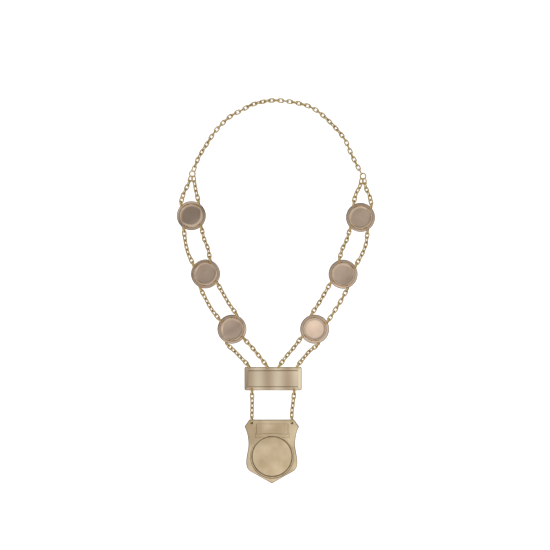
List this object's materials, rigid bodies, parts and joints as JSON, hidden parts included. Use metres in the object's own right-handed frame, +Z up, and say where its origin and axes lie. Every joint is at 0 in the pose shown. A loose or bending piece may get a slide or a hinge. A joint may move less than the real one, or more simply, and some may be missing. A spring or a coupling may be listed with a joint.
{
  "type": "carnival prince chain",
  "caption": "Chain of office laid flat: a neck chain on jump rings, straps of paired link chains with round plates, a blank name bar, and a shield-shaped pendant for an emblem.",
  "frame": {"origin": "on the surface that the chain lies on, under the middle of the whole chain's box", "axes": "+Z up from the surface, +Y from the shield to the neck, +X to the right as seen from above"},
  "size_m": [0.2317, 0.4504, 0.0057],
  "materials": {
    "gilt_plate": "polished pale gold plate with fine scratches",
    "gilt_wire": "bright gold-plated wire"
  },
  "bodies": {
    "root": {"neck_chain": "gilt_wire", "left_ring": "gilt_wire", "right_ring": "gilt_wire", "left_disc_1": "gilt_plate", "left_disc_2": "gilt_plate", "left_disc_3": "gilt_plate", "right_disc_1": "gilt_plate", "right_disc_2": "gilt_plate", "right_disc_3": "gilt_plate", "left_outer_chain_1": "gilt_wire", "left_inner_chain_1": "gilt_wire", "left_outer_chain_2": "gilt_wire", "left_inner_chain_2": "gilt_wire", "left_outer_chain_3": "gilt_wire", "left_inner_chain_3": "gilt_wire", "left_outer_chain_4": "gilt_wire", "left_inner_chain_4": "gilt_wire", "right_outer_chain_1": "gilt_wire", "right_inner_chain_1": "gilt_wire", "right_outer_chain_2": "gilt_wire", "right_inner_chain_2": "gilt_wire", "right_outer_chain_3": "gilt_wire", "right_inner_chain_3": "gilt_wire", "right_outer_chain_4": "gilt_wire", "right_inner_chain_4": "gilt_wire", "name_bar": "gilt_plate", "left_pendant_chain": "gilt_wire", "right_pendant_chain": "gilt_wire", "shield": "gilt_plate"}
  },
  "joints": []
}
